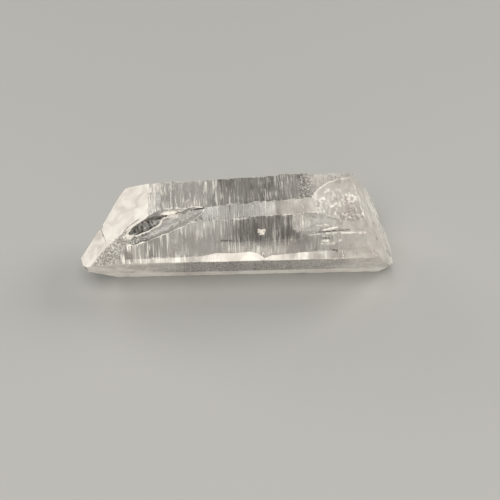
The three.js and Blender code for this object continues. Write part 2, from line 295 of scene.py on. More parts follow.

# ---- How the surfaces are finished ----

# satin is how rough a kind of surface is, bloom how much white skin it carries, grain how coarse its
# texture is, shade how much painted shade it carries (its glass, and its skin where grainy, darkened
# to stand for the dark seen through it), and lines how strongly the growth lines show.
FINISH_NUMBERS = ("satin", "bloom", "grain", "shade", "lines")
FINISHES = {
    "prism": (0.03, 0.0, 0.02, 0.0, 1.0),
    "upper tip": (0.6, 1.2, 0.05, 0.0, 0.0),
    "strip": (0.2, 0.15, 0.1, 0.75, 3.0),
    "tip": (0.15, 0.3, 0.2, 0.0, 0.0),
    "broken edge": (0.35, 0.4, 1.3, 0.3, 0.0),
    "pit": (0.03, 0.0, 0.15, 0.85, 0.0),
    "flake": (0.15, 0.2, 0.3, 0.25, 0.0),
    "break": (0.4, 0.56, 0.3, 0.0, 0.0),
    "hollow": (0.5, 0.36, 0.1, 0.0, 0.0),
    "chip": (0.35, 0.9, 1.2, 0.0, 0.0),
    "bruise": (0.3, 0.45, 0.9, 0.0, 0.0),
    "crack": (0.4, 1.0, 1.0, 1.2, 0.0),
}
KINDS = list(FINISHES)

# How the flake's grain and painted shade change along its length, and arcs of painted shade that follow
# the shock waves in the pit.
FLAKE_CHANGES = dict(grain=[(14.5, 1.3), (18.5, 1.3), (20, 0.35)],
                     shade=[(14.5, 0.6), (18.5, 0.6), (20, 0.3), (33, 0.2)])
PIT_ARC_SHADE = dict(shade=0.22, length=1.05, centre=(8, -9, 4))

# Milky swirls in the hollow, which fade towards the back, and one wavering ring among them.
SWIRL = dict(size=0.9, stretch=(1.5, 0.8, 1), bloom=1.2, fades=[(0.5, 1), (3, 0.1)])
RING = dict(centre=(70.9, -0.3), radius=0.85, width=0.3, bloom=0.7, waver=0.8)

# White bruises at the upper end of the pit, at its foot and round the star. They are as grainy as they
# say. An edge is where a bruise fades: at reach of its size, more or less by ragged.
BRUISES = [
    dict(centre=(25.0, -4.8, 11.0), reach=(2.9, 0.9, 1.0), bloom=1.1, grain=1.5),
    dict(centre=(14.9, -7.1, 5.7), reach=(3.0, 1.0, 1.1), bloom=1.7, grain=0.1),
    dict(centre=(47.4, -8.4, 7.95), reach=(1.1, 0.9, 0.9), bloom=0.9, grain=1.0),
]
BRUISE_EDGE = dict(reach=0.9, ragged=0.5, size=0.8, steepness=2.5)

# The bruised rims where one kind of surface meets another: the two kinds, which of them the rim eats
# into, how white it is and how wide. The width is stated at places along the crystal, or from front to
# back for the rim of the hollow.
RIMS = [
    ("pit", "flake", ("pit", "flake"), 1.5, [(12, 0.7), (18, 0.6), (24, 0.45)]),
    ("flake", "prism", ("flake",), 1.4, [(13, 0.7), (19, 0.55), (28, 0.5), (34, 0.35)]),
    ("pit", "broken edge", ("broken edge",), 1.4, [(0, 0.6)]),
    ("pit", "upper tip", ("pit",), 0.7, [(0, 0.25)]),
    ("pit", "strip", ("pit",), 0.7, [(0, 0.25)]),
    ("broken edge", "upper tip", ("broken edge",), 0.7, [(0, 0.3)]),
    ("hollow", "prism", ("hollow",), 1.2, [(-3, 0.05), (-0.5, 0.35)]),
    ("hollow", "break", ("hollow", "break"), 1.0, [(0, 0.4)]),
    ("break", "prism", ("break",), 1.0, [(0, 0.3)]),
]
RIM_EDGE = dict(reach=0.65, ragged=0.9, size=1.0, steepness=1.6, least=0.1, limit=2)
RIM_GRAIN = 0.5
SMOOTH_BELOW = 10

# The glass, and the painted shade its colour goes to where shade is 1, for the dark seen through it.
CLEAR_GLASS = (1.0, 0.995, 0.985, 1)
PAINTED_SHADE_GLASS = (0.042, 0.036, 0.03, 1)
QUARTZ_IOR = 1.544
BODY_TINT = (0.86, 0.855, 0.84, 1)
BODY_DENSITY = 45.0
# The white skin of bruises, frost and milky places, at its dullest and its whitest, and the painted
# shade it takes on grainy places.
DULL_SKIN = (0.63, 0.57, 0.53, 1)
WHITE_SKIN = (0.95, 0.92, 0.86, 1)
SHADED_SKIN = (0.1, 0.095, 0.085, 1)
MOST_SKIN = 0.92
RELIEF = {"Strength": 0.5, "Distance": 0.0002}
MIDDLE_TONES = (0.35, 0.65)

# ---- Flaws inside the crystal, in millimetres ----

# Directions on the front face, across it and outwards.
FRONT_UP = Vector((0, 0.5, 0.866))
FRONT_OUT = Vector((0, -0.866, 0.5))
# A healed crack, a film with a faint bow. start and end are the ends of its lower edge on the face,
# widths are how far it reaches up from them, and under is how deep it lies.
HEALED_CRACK = dict(start=(55.2, -8.6, 7.7), end=(73, -9.2, 7.2), under=0.9, widths=(4.7, 2.4),
                    cells=(70, 24), bow=0.35, bow_size=4, half_thickness=0.03)
LENS_EDGE = 8
FILM_COLOUR = (0.95, 0.93, 0.9, 1)
# How much of the film, and of the sparkles, its thinnest and thickest places cover.
FILM_COVER = (0.05, 0.5)
SPARKLE_COVER = (0.75, 1.0)
# Small bright flecks in patches near the crack. reach is half a patch's length and width.
SPARKLES = [
    dict(centre=(55.6, -9.6, 5.2), reach=(1.5, 0.7), under=0.7),
    dict(centre=(64.4, -9.5, 5.5), reach=(2.6, 1.0), under=0.8),
]
PATCH_TILT = 0.5
FLECK_DENSITY = 1.0
FLECK_SIZE = 0.35
FLECK_SEED = 7
FLECK_SHAPE = (1, 0.7, 0.25)
FLECK_SMALLEST = 0.3

# ---- The studio, in metres ----

FLOOR_SIZE = 4.0
FLOOR_PAINT = (0.36, 0.357, 0.35, 1)
WORLD_COLOUR = (1, 0.99, 0.97, 1)
WORLD_STRENGTH = 0.1
LAMP_COLOUR = (1, 0.982, 0.93)
# Each lamp: its name, where it hangs, what it points at, its size and its power in watts.
LAMPS = [
    ("overhead", (-0.15, -0.45, 0.9), (0, 0, 0), (0.8, 0.8), 11.5),
    ("back", (0.03, 0.75, 0.68), (0, 0, 0), (0.5, 0.3), 0.55),
    ("back left", (-0.66, 0.70, 0.38), (0, 0, 0), (0.5, 0.35), 2.8),
    ("right", (0.85, 0.35, 0.55), (0, 0, 0), (0.5, 0.4), 6.0),
    ("front", (0.1, -0.95, 0.27), (0, 0, 0), (0.6, 0.4), 0.38),
    ("low front", (0, -0.8, 0.06), (0, 0, 0.005), (0.9, 0.08), 1.9),
]
CAMERA_AIM = Vector((-0.00243, -0.0006, 0.011))
CAMERA_AZIMUTH = -2.08
CAMERA_ELEVATION = 44
CAMERA_DISTANCE = 0.3
CAMERA_LENS = 83.08
CAMERA_SENSOR = 36
CAMERA_SHIFT = (0.0396, -0.0364)
CAMERA_NEAREST = 0.01


# ---- Helpers for shapes ----

def random_stream(seed):
    """The same run of numbers between 0 and 1 for the same seed."""
    state = seed
    while True:
        state = (state * 1664525 + 1013904223) % 2 ** 32
        yield state / 2 ** 32


def at_places(xs, places, column=1):
    """The value at each X. It changes evenly between places stated as (X, value)."""
    return np.interp(xs, [place[0] for place in places], [place[column] for place in places])


def make_mesh(name, points, faces, finish):
    """A mesh whose every face carries the numbers of its finish."""
    mesh = bpy.data.meshes.new(name)
    mesh.from_pydata([tuple(p) for p in points], [], [tuple(f) for f in faces])
    numbers = dict(zip(FINISH_NUMBERS, FINISHES[finish]), rung=0.0, kind=KINDS.index(finish))
    for key, value in numbers.items():
        attribute = mesh.attributes.new(key, "FLOAT", "FACE")
        attribute.data.foreach_set("value", [value] * len(mesh.polygons))
    return mesh


def from_bmesh(name, bm, finish):
    bmesh.ops.recalc_face_normals(bm, faces=bm.faces)
    points = [tuple(v.co) for v in bm.verts]
    bm.verts.index_update()
    faces = [[v.index for v in f.verts] for f in bm.faces]
    bm.free()
    return make_mesh(name, points, faces, finish)


def add_object(name, data):
    made = bpy.data.objects.new(name, data)
    bpy.context.scene.collection.objects.link(made)
    return made


def evaluated(made):
    """The mesh of an object with its modifiers carried out."""
    depsgraph = bpy.context.evaluated_depsgraph_get()
    return bpy.data.meshes.new_from_object(made.evaluated_get(depsgraph))


def facing(normal):
    return Vector((0, 0, 1)).rotation_difference(Vector(normal))


def lumpy(point, size, depth=3):
    """Smooth noise between about -1 and 1, with lumps of about this size."""
    return noise.fractal(Vector(point) / size, 1.0, 2.0, depth)


def swirled(point, size, depth=3):
    """Noise whose lumps are dragged about into swirls."""
    at = Vector(point)
    drag = noise.noise_vector(at / (2 * size)) * size
    return lumpy(at + drag, size, depth)


def ripple_at(distance, ripple):
    return ripple["height"] * np.sin(2 * math.pi * distance / ripple["length"])


# ---- The prism and its growth ledges ----

def ledges_of(count, rise, seed, places):
    """Where the ledges of a face stand, and how high each is at some places across the face."""
    random = random_stream(seed)
    spacing = (STOCK_END - STOCK_START) / max(count, 1)
    xs = [STOCK_START]
    heights = [[0] * places]
    for k in range(count):
        x = STOCK_START + (k + LEDGE_PLACE["least"] + LEDGE_PLACE["chance"] * next(random)) * spacing
        xs.append(round(x / RING_STEP) * RING_STEP)
        shares = [LEDGE_HEIGHT["chance"] * next(random) - LEDGE_HEIGHT["less"] for _ in range(places)]
        heights.append([rise * max(share, 0) for share in shares])
    return np.array(xs), np.array(heights)


def ledge_relief(xs, across, ledges, climb):
    """How far the ledges stand proud at each ring and column: out at each one, then sinking back."""
    starts, heights = ledges
    tiny = 1e-5
    k = np.searchsorted(starts, xs + tiny, side="right") - 1
    ends = np.append(starts[1:], STOCK_END)[k]
    tops = starts[k] + climb
    risen = np.clip((xs - starts[k]) / climb, 0, 1)
    sunk = np.clip((xs - tops) / np.maximum(ends - tops, climb), 0, 1)
    places = heights.shape[1] - 1
    left = np.minimum((across * places).astype(int), places - 1)
    share = across * places - left
    rows = np.arange(len(xs))[:, None]
    level = heights[k][rows, left] * (1 - share) + heights[k][rows, left + 1] * share
    return level * (risen * (1 - sunk))[:, None]


def shelf_brink(xs):
    """How far across the front the brink of the shelf lies, at each ring."""
    return at_places(xs, SHELF["path"])[:, None]


def columns_across(face, xs):
    """Where each column of a face stands at each ring, from 0 at its first edge to 1 at the other."""
    if face["name"] == SHELF["face"]:
        brink = shelf_brink(xs)
        above = EDGE_MARGIN + (brink - EDGE_MARGIN) * np.linspace(0, 1, FRONT_COLUMNS - 2)
        last = np.full((len(xs), 1), 1 - EDGE_MARGIN / 2)
        inner = np.concatenate([above, brink + SHELF["step"], last], 1)
    else:
        inner = np.tile(np.linspace(EDGE_MARGIN, 1 - EDGE_MARGIN, COLUMNS), (len(xs), 1))
    ends = np.zeros((len(xs), 1))
    return np.concatenate([ends, inner, ends + 1], 1)


def growth_of(face, xs, across):
    """How far a face stands proud of its plane, at each ring and column."""
    rungs = ledges_of(*face["rungs"], face["seed"], RUNG_PLACES)
    lines = ledges_of(*face["lines"], face["seed"] + LINE_SEED, LINE_PLACES)
    strength = at_places(xs, face["zones"], LINE_ZONE)[:, None]
    relief = ledge_relief(xs, across, rungs, LEDGE_CLIMB) * np.minimum(RUNG_LEAST + strength, 1)
    relief += ledge_relief(xs, across, lines, RING_STEP) * strength
    for i, x in enumerate(xs):
        relief[i] += [WAVE["height"] * lumpy((x, t * WAVE["across"], face["seed"]), WAVE["length"], 1)
                      for t in across[i]]
    if face["name"] == RAISED_PATCH["face"]:
        patch = (xs > RAISED_PATCH["start"]) & (xs < RAISED_PATCH["end"])
        relief += RAISED_PATCH["height"] * patch[:, None]
    if face["name"] == SWELLING["face"]:
        relief += at_places(xs, SWELLING["height"])[:, None]
    if face["name"] == SHELF["face"]:
        ends = at_places(xs, SHELF["fades"])[:, None]
        relief -= SHELF["height"] * ends * (across > shelf_brink(xs) + SHELF["step"] / 2)
    return relief


def corners_after(index, xs, reliefs):
    """The corner between a face and the next one round, at each ring: where their lines cross."""
    after_index = (index + 1) % len(PRISM_FACES)
    face = PRISM_FACES[index]
    after = PRISM_FACES[after_index]
    a = math.radians(face["angle"])
    b = math.radians(after["angle"])
    reach_a = face["reach"] + face["widening"] * xs + reliefs[index][:, -1]
    reach_b = after["reach"] + after["widening"] * xs + reliefs[after_index][:, 0]
    turn = math.sin(b - a)
    corners = np.stack([
        xs,
        (reach_a * math.sin(b) - reach_b * math.sin(a)) / turn,
        (reach_b * math.cos(a) - reach_a * math.cos(b)) / turn,
    ], -1)
    if face["name"] in EDGE_SHIFTS:
        edge = EDGE_SHIFTS[face["name"]]
        corners = corners + at_places(xs, edge["shift"])[:, None] * edge["along"]
    return corners


def worn(corners, index):
    """Draws an edge in towards the axis by a little that varies along it."""
    lumps = [lumpy((x, index * STOCK_END, 0), EDGE_WEAR["length"]) for x in corners[:, 0]]
    wear = EDGE_WEAR["depth"] * (0.5 + 0.5 * np.array(lumps))
    inward = -corners * (0, 1, 1)
    inward /= np.linalg.norm(inward, axis=1)[:, None]
    return corners + inward * wear[:, None]


def face_columns(index, across, relief, before, after):
    """The columns of points of one face, from its worn first edge to short of its other edge."""
    angle = math.radians(PRISM_FACES[index]["angle"])
    out = np.array([0, math.cos(angle), math.sin(angle)])
    columns = [worn(before, index)]
    for t, raised in zip(across.T[1:-1], relief.T[1:-1]):
        level = (1 - t) * relief[:, 0] + t * relief[:, -1]
        columns.append(before + t[:, None] * (after - before) + out * (raised - level)[:, None])
    return columns


def mark_front(marks, xs, across):
    """The shelf's painted light, the window of painted shade, the painted light below it and the milky
    patch.
    """
    shelf = slice(-SHELF_COLUMNS, None)
    # Painted light: white skin along the shelf.
    marks["bloom"][:, shelf] = at_places(xs, SHELF_PAINTED_LIGHT)[:, None]
    marks["shade"][:, shelf] = 0
    # Painted shade: the glass is darkened most in the window.
    window = at_places(xs, PAINTED_SHADE_WINDOW["along"])[:, None] * at_places(across, PAINTED_SHADE_WINDOW["across"])
    marks["shade"] = np.maximum(marks["shade"], PAINTED_SHADE_WINDOW["shade"] * window)
    # Painted light: more white skin below the window.
    glow = at_places(xs, LOWER_PAINTED_LIGHT["along"])[:, None] * at_places(across, LOWER_PAINTED_LIGHT["across"])
    marks["bloom"] += LOWER_PAINTED_LIGHT["bloom"] * glow
    corner = (across / MILKY_PATCH["across"]) ** MILKY_PATCH["squareness"]
    milky = xs[:, None] > MILKY_PATCH["start"] + MILKY_PATCH["rounding"] * corner
    marks["shade"][milky] = 0
    marks["bloom"][milky] = np.maximum(marks["bloom"][milky], MILKY_PATCH["bloom"])


def face_marks(index, xs, across, relief):
    """The numbers of the finish over one face: a row for each ring, a column for each strip."""
    face = PRISM_FACES[index]
    plain = dict(zip(FINISH_NUMBERS, FINISHES["prism"]))
    marks = {
        "lines": at_places(xs, face["zones"], LINE_ZONE),
        "bloom": at_places(xs, face["zones"], BLOOM_ZONE),
        "shade": at_places(xs, face.get("shades", [(0, plain["shade"])])),
        "grain": at_places(xs, face.get("grains", [(0, plain["grain"])])),
    }
    marks = {what: np.repeat(values[:, None], across.shape[1], 1) for what, values in marks.items()}
    slopes = np.abs(np.diff(relief[:, :-1], axis=0)) / RING_STEP
    marks["rung"] = np.clip(slopes / STEEP, 0, 1)
    if face["name"] == SHELF["face"]:
        mark_front(marks, xs, across)
    if face["name"] == PAINTED_HIGHLIGHT_FOOT["face"]:
        # A painted highlight: the lowest columns of the lower front are made white.
        foot = slice(-PAINTED_HIGHLIGHT_FOOT["columns"], None)
        marks["bloom"][:, foot] = PAINTED_HIGHLIGHT_FOOT["bloom"]
        marks["grain"][:, foot] = 0
        marks["shade"][:, foot] = 0
    lumps = [lumpy((x, index * STOCK_END, EDGE_BLOOM["seed"]), EDGE_BLOOM["length"]) for x in xs]
    for column in (0, -1):
        marks["bloom"][:, column] += EDGE_BLOOM["bloom"] * np.maximum(lumps, 0)
    return marks


def prism_stock():
    """The whole prism as rings of points, with the numbers of its finish stored on each face."""
    xs = np.arange(STOCK_START, STOCK_END + RING_STEP / 2, RING_STEP)
    across = [columns_across(face, xs) for face in PRISM_FACES]
    reliefs = [growth_of(face, xs, t) for face, t in zip(PRISM_FACES, across)]
    corners = [corners_after(i, xs, reliefs) for i in range(len(PRISM_FACES))]
    columns = []
    marks = []
    for i, relief in enumerate(reliefs):
        columns += face_columns(i, across[i], relief, corners[i - 1], corners[i])
        marks.append(face_marks(i, xs[:-1], across[i][:-1, :-1], relief))
    mesh = loft("stock", np.stack(columns, 1), "prism")
    for what in marks[0]:
        sides = np.concatenate([part[what] for part in marks], 1).ravel()
        values = np.zeros(len(mesh.polygons))
        values[:sides.size] = sides
        mesh.attributes[what].data.foreach_set("value", values)
    return mesh


def loft(name, rings, finish):
    """A closed skin over rings of points that turn from +Y to +Z, with a fan on each end."""
    count, around = rings.shape[:2]
    index = np.arange(count * around).reshape(count, around)
    beside = np.roll(index, -1, 1)
    sides = np.stack([index[:-1], beside[:-1], beside[1:], index[1:]], -1).reshape(-1, 4)
    points = np.concatenate([rings.reshape(-1, 3), rings[0].mean(0)[None], rings[-1].mean(0)[None]])
    first = len(points) - 2
    start = [(first, b, a) for a, b in zip(index[0], beside[0])]
    end = [(first + 1, a, b) for a, b in zip(index[-1], beside[-1])]
    return make_mesh(name, points, [*sides.tolist(), *start, *end], finish)


# ---- Cutters ----

def block_beyond(plane, span, cells, relief, finish):
    """Everything in front of a plane, as a block whose near side bends by relief(u, v)."""
    grid = np.linspace(-span / 2, span / 2, cells + 1)
    near = [(u, v, relief(u, v)) for u in grid for v in grid]
    far = [(u, v, span) for u in (grid[0], grid[-1]) for v in (grid[0], grid[-1])]
    side = cells + 1

    def at(i, j):
        return i * side + j

    steps = range(cells)
    faces = [(at(i, j), at(i, j + 1), at(i + 1, j + 1), at(i + 1, j)) for i in steps for j in steps]
    a, b, c, d = (len(near) + k for k in range(4))
    faces += [
        (a, c, d, b),
        (a, b, *(at(0, j) for j in reversed(range(side)))),
        (d, c, *(at(cells, j) for j in range(side))),
        (c, a, *(at(i, 0) for i in range(side))),
        (b, d, *(at(i, cells) for i in reversed(range(side)))),
    ]
    turn = facing(plane["normal"]).to_matrix().to_4x4()
    mesh = make_mesh("block", near + far, faces, finish)
    mesh.transform(Matrix.Translation(plane["point"]) @ turn)
    return mesh


def tip_normal(azimuth, lean):
    around = math.radians(azimuth)
    tilt = math.radians(lean)
    return Vector((-math.sin(tilt), math.cos(tilt) * math.cos(around), math.cos(tilt) * math.sin(around)))


def etched(height, size, seed, depth=3):
    return lambda u, v: height * lumpy((u, v, seed), size, depth)


def swollen(relief, plane, at, size, height):
    """The same relief with one low round swelling in it."""
    middle = facing(plane["normal"]).inverted() @ (Vector(at) - plane["point"])

    def raised(u, v):
        away = math.hypot(u - middle.x, v - middle.y) / size
        return relief(u, v) + height * math.exp(-away * away)

    return raised


def tip_cuts():
    cuts = []
    for face in TIP_FACES:
        normal = tip_normal(face["azimuth"], TIP_LEAN)
        plane = dict(normal=normal, point=Vector(TIP_POINT) - face["setback"] * normal)
        relief = etched(**TIP_ETCHING, seed=face["azimuth"])
        if "swell" in face:
            relief = swollen(relief, plane, **face["swell"])
        cuts.append(block_beyond(plane, **TIP_BLOCK, relief=relief, finish=face["finish"]))
    strip = dict(normal=tip_normal(TIP_FACES[0]["azimuth"], STRIP_LEAN), point=STRIP_END)
    cuts.append(block_beyond(strip, **TIP_BLOCK, relief=etched(**STRIP_ETCHING), finish="strip"))
    cuts.append(block_beyond(WORN_TIP, **WORN_BLOCK, relief=etched(**WORN_ETCHING), finish="chip"))
    return cuts


def scar_cut(start, end, out, width, depth, finish, roughness, belly, cells, ripples=0, ragged=0):
    """An egg-shaped cutter lying along the scar, its belly rippled by the shock waves."""
    along = Vector(end) - Vector(start)
    length = along.length
    along.normalize()
    outward = Vector(out)
    outward = (outward - outward.dot(along) * along).normalized()
    rise = belly - depth
    spread = 0.5 / math.sqrt(1 - (rise / belly) ** 2)
    bm = bmesh.new()
    bmesh.ops.create_uvsphere(bm, u_segments=cells[0], v_segments=cells[1], radius=1,
                              matrix=Matrix.Rotation(math.pi / 2, 4, "Y"))
    for vert in bm.verts:
        at = vert.co.copy()
        wave = 1 + SCAR_RIPPLE * math.sin(ripples * at.x)
        flare = 1 + ragged * lumpy((at.x * length, RAGGED["across"] * at.y, 0), RAGGED["size"])
        vert.co = (at.x * length * spread, at.y * flare * wave * width * spread, at.z * wave * belly + rise)
        if vert.co.z < SCAR_GRAIN["below"]:
            vert.co.z += roughness * lumpy(vert.co, SCAR_GRAIN["size"])
    across = outward.cross(along)
    turn = Matrix((along, across, outward)).transposed().to_4x4()
    middle = (Vector(start) + Vector(end)) / 2
    bm.transform(Matrix.Translation(middle) @ turn)
    return from_bmesh("scar", bm, finish)


def nick_cut(start, end, out, width, depth, finish="bruise", roughness=0.2):
    return scar_cut(start, end, out, width, depth, finish, roughness, **NICK_SHAPE)


def break_relief(u, v):
    """Shock waves from where the base was struck, with lumps and a little roughness."""
    height = ripple_at(math.hypot(u - BREAK_STRIKE[0], v - BREAK_STRIKE[1]), BREAK_RIPPLE)
    for at_u, at_v, size, lump in BREAK_LUMPS:
        away = math.hypot(u - at_u, v - at_v) / size
        height += lump * math.exp(-away * away)
    return height + etched(**BREAK_ETCHING)(u, v)


def hollow_cut(centre, radius, fineness, ripple, swirl):
    """A ball whose skin has faint shock waves from one side, and swirls."""
    bm = bmesh.new()
    bmesh.ops.create_icosphere(bm, subdivisions=fineness, radius=radius)
    for vert in bm.verts:
        from_side = radius * math.acos(max(-1, min(1, vert.co.x / radius)))
        relief = ripple["share"] * ripple_at(from_side, ripple)
        relief += swirl["height"] * swirled(vert.co, swirl["size"], swirl["depth"])
        vert.co *= (radius + relief) / radius
    bm.transform(Matrix.Translation(centre))
    return from_bmesh("hollow", bm, "hollow")


def base_cuts():
    return [
        block_beyond(BASE_BREAK, **BREAK_BLOCK, relief=break_relief, finish="break"),
        block_beyond(BASE_CORNER, **CORNER_BLOCK, relief=etched(**CORNER_ETCHING), finish="break"),
        hollow_cut(**BASE_HOLLOW),
    ]


def chip_cut(index, at, radius):
    """A lumpy flat ball, turned another way for each chip."""
    bm = bmesh.new()
    bmesh.ops.create_icosphere(bm, subdivisions=CHIP_FINENESS, radius=radius)
    apart = Vector((index * CHIP_LUMPS["apart"], 0, 0))
    for vert in bm.verts:
        vert.co *= 1 + CHIP_LUMPS["height"] * lumpy(vert.co + apart, CHIP_LUMPS["size"])
    turn = Matrix.Rotation(GOLDEN_ANGLE * index / 2, 4, "Z") @ Matrix.Rotation(GOLDEN_ANGLE * index, 4, "X")
    bm.transform(Matrix.Translation(at) @ turn @ Matrix.Diagonal((*CHIP_SHAPE, 1)))
    return from_bmesh("chip", bm, "chip")


# ---- The crystal ----

def subtract(stock, cutters):
    body = add_object("crystal_body", stock)
    others = [add_object(mesh.name, mesh) for mesh in cutters]
    for other in others:
        cut = body.modifiers.new("cut", "BOOLEAN")
        cut.operation = "DIFFERENCE"
        cut.solver = "MANIFOLD"
        cut.object = other
    result = evaluated(body)
    for made in [body, *others]:
        mesh = made.data
        bpy.data.objects.remove(made)
        bpy.data.meshes.remove(mesh)
    return result


def face_values(mesh, name):
    values = np.zeros(len(mesh.polygons), np.float32)
    mesh.attributes[name].data.foreach_get("value", values)
    return values


def is_kind(kinds, name):
    return kinds == KINDS.index(name)


def ragged_edge(centres, edge):
    """Where a bruise ends at each of these places, as a share of its reach."""
    return np.array([edge["reach"] + edge["ragged"] * lumpy(centre, edge["size"]) for centre in centres])


# The flake's grain and painted shade along its length, and the arcs of painted shade in the pit.
def shade_scars(kinds, centres, grain, shade):
    flake = is_kind(kinds, "flake")
    grain[flake] = at_places(centres[flake, 0], FLAKE_CHANGES["grain"])
    shade[flake] = at_places(centres[flake, 0], FLAKE_CHANGES["shade"])
    pit = is_kind(kinds, "pit")
    away = np.linalg.norm(centres[pit] - PIT_ARC_SHADE["centre"], axis=1)
    shade[pit] += PIT_ARC_SHADE["shade"] * np.sin(2 * math.pi * away / PIT_ARC_SHADE["length"])


def whiten_hollow(kinds, centres, bloom):
    for i in np.nonzero(is_kind(kinds, "hollow"))[0]:
        at = centres[i]
        share = at_places(at[1], SWIRL["fades"])
        bloom[i] += SWIRL["bloom"] * share * max(swirled(at * SWIRL["stretch"], SWIRL["size"]), 0)
        radius = RING["radius"] * (1 + RING["waver"] * lumpy(at, 1))
        off = (math.dist(at[:2], RING["centre"]) - radius) / RING["width"]
        bloom[i] += RING["bloom"] * math.exp(-off * off)


def whiten_bruises(kinds, centres, bloom, grain, shade):
    edge = ragged_edge(centres, BRUISE_EDGE)
    for bruise in BRUISES:
        off = np.linalg.norm((centres - bruise["centre"]) / bruise["reach"], axis=1)
        share = np.clip(BRUISE_EDGE["steepness"] * (edge - off), 0, 1)
        share[is_kind(kinds, "upper tip")] = 0
        bloom += bruise["bloom"] * share
        grain += (bruise["grain"] - grain) * share
        shade *= 1 - share


def borders_of(mesh, kinds):
    """The middles of the edges where two kinds of surface meet, for each pair of kinds."""
    sides = {}
    for face in mesh.polygons:
        for key in face.edge_keys:
            sides.setdefault(key, []).append(kinds[face.index])
    borders = {}
    for (a, b), pair in sides.items():
        if len(pair) == 2 and pair[0] != pair[1]:
            middle = (mesh.vertices[a].co + mesh.vertices[b].co) / 2
            borders.setdefault(frozenset(pair), []).append(middle)
    return borders


def whiten_rims(kinds, centres, borders, bloom, grain, shade):
    for first, second, eaten, white, widths in RIMS:
        border = borders.get(frozenset([KINDS.index(first), KINDS.index(second)]))
        if not border:
            continue
        tree = KDTree(len(border))
        for i, middle in enumerate(border):
            tree.insert(middle, i)
        tree.balance()
        mine = np.nonzero(np.isin(kinds, [KINDS.index(kind) for kind in eaten]))[0]
        away = np.array([tree.find(centres[i])[2] for i in mine])
        axis = 1 if first == "hollow" else 0
        off = away / at_places(centres[mine, axis], widths)
        mine = mine[off < RIM_EDGE["limit"]]
        off = off[off < RIM_EDGE["limit"]]
        edge = np.maximum(ragged_edge(centres[mine], RIM_EDGE), RIM_EDGE["least"])
        share = np.clip(RIM_EDGE["steepness"] - RIM_EDGE["steepness"] * off / edge, 0, 1)
        bloom[mine] = np.maximum(bloom[mine], white * share)
        shade[mine] *= 1 - share
        grain[mine] = np.maximum(grain[mine], RIM_GRAIN * share)


def finish_faces(mesh):
    """Works out what varies within the scars, the hollow, the bruises and the bruised rims."""
    kinds = np.round(face_values(mesh, "kind")).astype(int)
    marks = {what: face_values(mesh, what) for what in ("bloom", "grain", "shade")}
    centres = np.zeros(len(mesh.polygons) * 3)
    mesh.polygons.foreach_get("center", centres)
    centres = centres.reshape(-1, 3)
    shade_scars(kinds, centres, marks["grain"], marks["shade"])
    whiten_hollow(kinds, centres, marks["bloom"])
    whiten_bruises(kinds, centres, **marks)
    whiten_rims(kinds, centres, borders_of(mesh, kinds), **marks)
    for what, values in marks.items():
        mesh.attributes[what].data.foreach_set("value", values)


def crystal_mesh():
    cutters = [
        *tip_cuts(),
        *(scar_cut(**scar, **SCAR_SHAPE) for scar in SCARS),
        *base_cuts(),
        *(chip_cut(i, *chip) for i, chip in enumerate(CHIPS)),
        *(nick_cut(*nick) for nick in NICKS),
    ]
    mesh = subtract(prism_stock(), cutters)
    finish_faces(mesh)
    mesh.transform(Matrix.Scale(MM, 4) @ Matrix.Translation(AXIS_TO_FRAME))
    mesh.shade_smooth()
    mesh.set_sharp_from_angle(angle=math.radians(SMOOTH_BELOW))
    return mesh


# ---- Finishes ----

class Wire:
    """A socket of a node tree. Sums and products of wires add the Math nodes they need."""

    def __init__(self, tree, socket=None):
        self.tree = tree
        self.socket = socket

    def node(self, kind, output=0, settings=None, inputs=None):
        """Adds a node: its settings are set first, then the values or links of its sockets."""
        node = self.tree.nodes.new(kind)
        for name, value in (settings or {}).items():
            setattr(node, name, value)
        for name, value in (inputs or {}).items():
            if isinstance(value, Wire):
                self.tree.links.new(value.socket, node.inputs[name])
            else:
                node.inputs[name].default_value = value
        return Wire(self.tree, node.outputs[output] if node.outputs else None)

    def maths(self, operation, *values):
        return self.node("ShaderNodeMath", 0, dict(operation=operation), dict(enumerate(values)))

    def mixed(self, factor, first, second):
        """A colour between two colours."""
        inputs = {0: factor, 6: first, 7: second}
        return self.node("ShaderNodeMix", 2, dict(data_type="RGBA"), inputs)

    def clamped(self, most=1.0):
        return self.node("ShaderNodeClamp", 0, None, {"Value": self, "Max": most})

    def spread(self, low, high, out_low=0.0, out_high=1.0):
        """Stretches the values between low and high over a new range, and clamps the rest."""
        inputs = {"Value": self, "From Min": low, "From Max": high, "To Min": out_low, "To Max": out_high}
        return self.node("ShaderNodeMapRange", 0, dict(clamp=True), inputs)

    def __add__(self, other):
        return self.maths("ADD", self, other)

    def __sub__(self, other):
        return self.maths("SUBTRACT", self, other)

    def __rsub__(self, other):
        return self.maths("SUBTRACT", other, self)

    def __mul__(self, other):
        return self.maths("MULTIPLY", self, other)

    __radd__ = __add__
    __rmul__ = __mul__


def new_finish(name):
    material = bpy.data.materials.new(name)
    material.use_nodes = True
    material.node_tree.nodes.clear()
    return material, Wire(material.node_tree)


